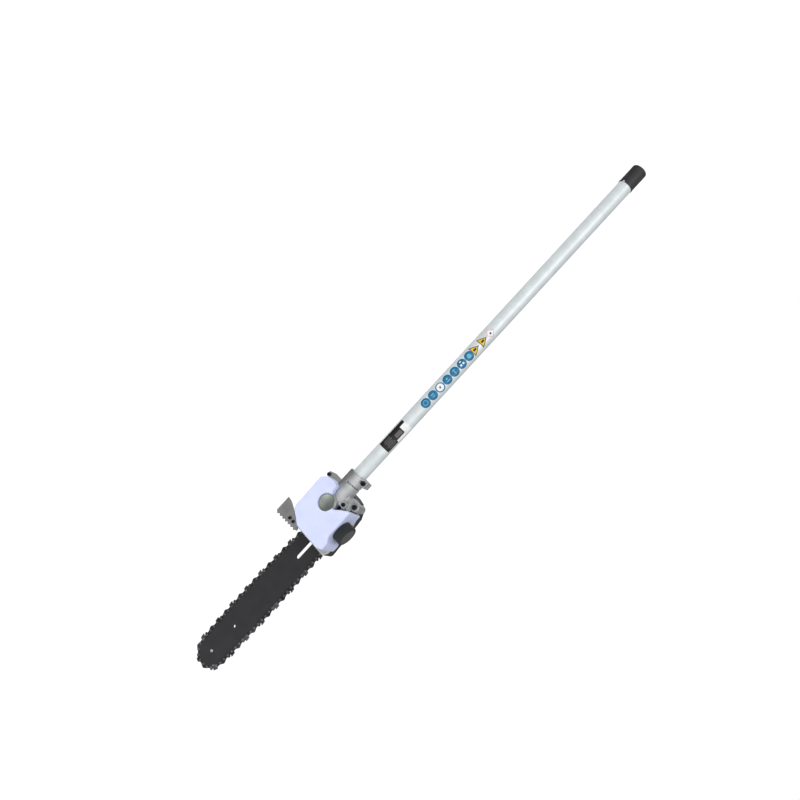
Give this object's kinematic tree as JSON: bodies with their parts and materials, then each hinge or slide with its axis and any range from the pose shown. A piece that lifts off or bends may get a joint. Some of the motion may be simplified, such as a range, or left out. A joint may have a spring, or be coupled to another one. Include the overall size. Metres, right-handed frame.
{
  "type": "pole saw",
  "caption": "Pole saw attachment: plain tube with end cap, bevel-gear head with see-through oil tank, guide bar with saw chain and a spiked bumper.",
  "frame": {"origin": "on the tube's axis at the insertion mark, the plane that the powerhead coupler's mouth comes to", "axes": "+X along the tube from its open end to the bar's tip, +Z towards the oil filler cap, +Y towards the bar's side of the gear head"},
  "size_m": [1.1473, 0.097, 0.142],
  "materials": {
    "tube_metal": "satin drawn aluminium",
    "cap_plastic": "soft black plastic",
    "shaft_steel": "ground steel",
    "bush_plastic": "black plastic",
    "casting": "bead-blasted die casting",
    "gear_steel": "cut gear steel",
    "bearing_steel": "polished bearing steel",
    "disc_metal": "pressed steel cap",
    "pump_plastic": "black plastic",
    "chain_steel": "oil-blackened steel",
    "cutter_steel": "chromed cutter steel",
    "rivet_steel": "bright rivets",
    "bar_steel": "charcoal painted steel",
    "zinc": "zinc plated",
    "black_screw": "black oxide",
    "tank_plastic": "bluish translucent plastic",
    "oil_cap_plastic": "dark charcoal plastic",
    "rubber_part": "black rubber",
    "cover_plastic": "black plastic",
    "bumper_steel": "flat grey steel",
    "label_film": "black film",
    "sticker_film": "blue film"
  },
  "bodies": {
    "head": {"drive_tube": "tube_metal", "shaft_bushes": "bush_plastic", "gear_case": "casting", "bearing_carrier": "casting", "pinion_bearings": "bearing_steel", "pinion_snap_ring": "gear_steel", "output_bearing_upper": "bearing_steel", "output_bearing_lower": "bearing_steel", "bearing_cap": "disc_metal", "pump_body": "pump_plastic", "bar_stud": "zinc", "oil_tank": "tank_plastic", "oil_hose": "rubber_part", "oil_filter": "bush_plastic", "hose_grommet": "rubber_part", "chain_cover": "cover_plastic", "spiked_bumper": "bumper_steel", "bumper_screws": "black_screw", "clamp_screw": "black_screw", "locating_screw": "black_screw", "case_screw": "black_screw", "cover_lug_screw": "zinc", "rating_label": "label_film", "warning_stickers": "sticker_film"},
    "end_cap": {"tube_end_cap": "cap_plastic"},
    "drive_line": {"drive_shaft": "shaft_steel", "bevel_pinion": "gear_steel"},
    "output": {"output_shaft": "shaft_steel", "bevel_gear": "gear_steel", "pump_worm": "gear_steel", "drive_sprocket": "gear_steel", "sprocket_washer": "zinc", "retaining_clip": "gear_steel"},
    "plunger": {"pump_plunger": "gear_steel"},
    "bar": {"guide_bar": "bar_steel", "nose_rivet": "zinc", "tension_block": "zinc", "chain_drive_links": "chain_steel", "chain_cutters_left": "cutter_steel", "chain_cutters_right": "cutter_steel", "chain_tie_straps": "chain_steel", "chain_rivets": "rivet_steel"},
    "nose_wheel": {"nose_sprocket": "gear_steel"},
    "tensioner": {"tension_screw": "zinc"},
    "nut": {"bar_nut": "zinc"},
    "gasket": {"cap_gasket": "rubber_part"},
    "filler_cap": {"oil_cap": "oil_cap_plastic"}
  },
  "joints": [
    {"name": "drive_spin", "type": "hinge", "parent": "head", "child": "drive_line", "pos_m": [0.67, 0, 0], "axis": [1, 0, 0], "continuous": true},
    {"name": "output_spin", "type": "hinge", "parent": "head", "child": "output", "pos_m": [0.67, 0, 0], "axis": [0, 1, 0], "continuous": true, "deforming": ["chain_drive_links", "chain_cutters_left", "chain_cutters_right", "chain_tie_straps", "chain_rivets"]},
    {"name": "plunger_spin", "type": "hinge", "parent": "head", "child": "plunger", "pos_m": [0.67, 0.0355, -0.0112], "axis": [1, 0, 0], "continuous": true},
    {"name": "nose_spin", "type": "hinge", "parent": "bar", "child": "nose_wheel", "pos_m": [1.0128, 0.046, 0], "axis": [0, 1, 0], "continuous": true},
    {"name": "tension_turn", "type": "hinge", "parent": "head", "child": "tensioner", "pos_m": [0.72, 0.039, 0.0128], "axis": [1, 0, 0], "range_deg": [-2925, 405]},
    {"name": "bar_tension", "type": "slide", "parent": "head", "child": "bar", "axis": [1, 0, 0], "range_m": [-0.0008, 0.0064]},
    {"name": "nut_turn", "type": "hinge", "parent": "head", "child": "nut", "pos_m": [0.724, 0.058, 0], "axis": [0, 1, 0], "range_deg": [0, 720]},
    {"name": "oil_cap_lift", "type": "slide", "parent": "head", "child": "gasket", "axis": [0, 0, 1], "range_m": [0, 0.0061]},
    {"name": "oil_cap_turn", "type": "hinge", "parent": "gasket", "child": "filler_cap", "pos_m": [0.688, -0.005, 0.053], "axis": [0, 0, 1], "range_deg": [0, 540]},
    {"name": "tube_cap_pull", "type": "slide", "parent": "head", "child": "end_cap", "axis": [-1, 0, 0], "range_m": [0, 0.15]}
  ],
  "couplings": [
    {"joint": "drive_spin", "follows": "output_spin", "ratio": 1.5},
    {"joint": "plunger_spin", "follows": "output_spin", "ratio": 0.083333},
    {"joint": "nose_spin", "follows": "output_spin", "ratio": 0.77778},
    {"joint": "tension_turn", "follows": "bar_tension", "rad_per_m": -7854},
    {"joint": "oil_cap_lift", "follows": "oil_cap_turn", "m_per_rad": 0.00063662}
  ]
}
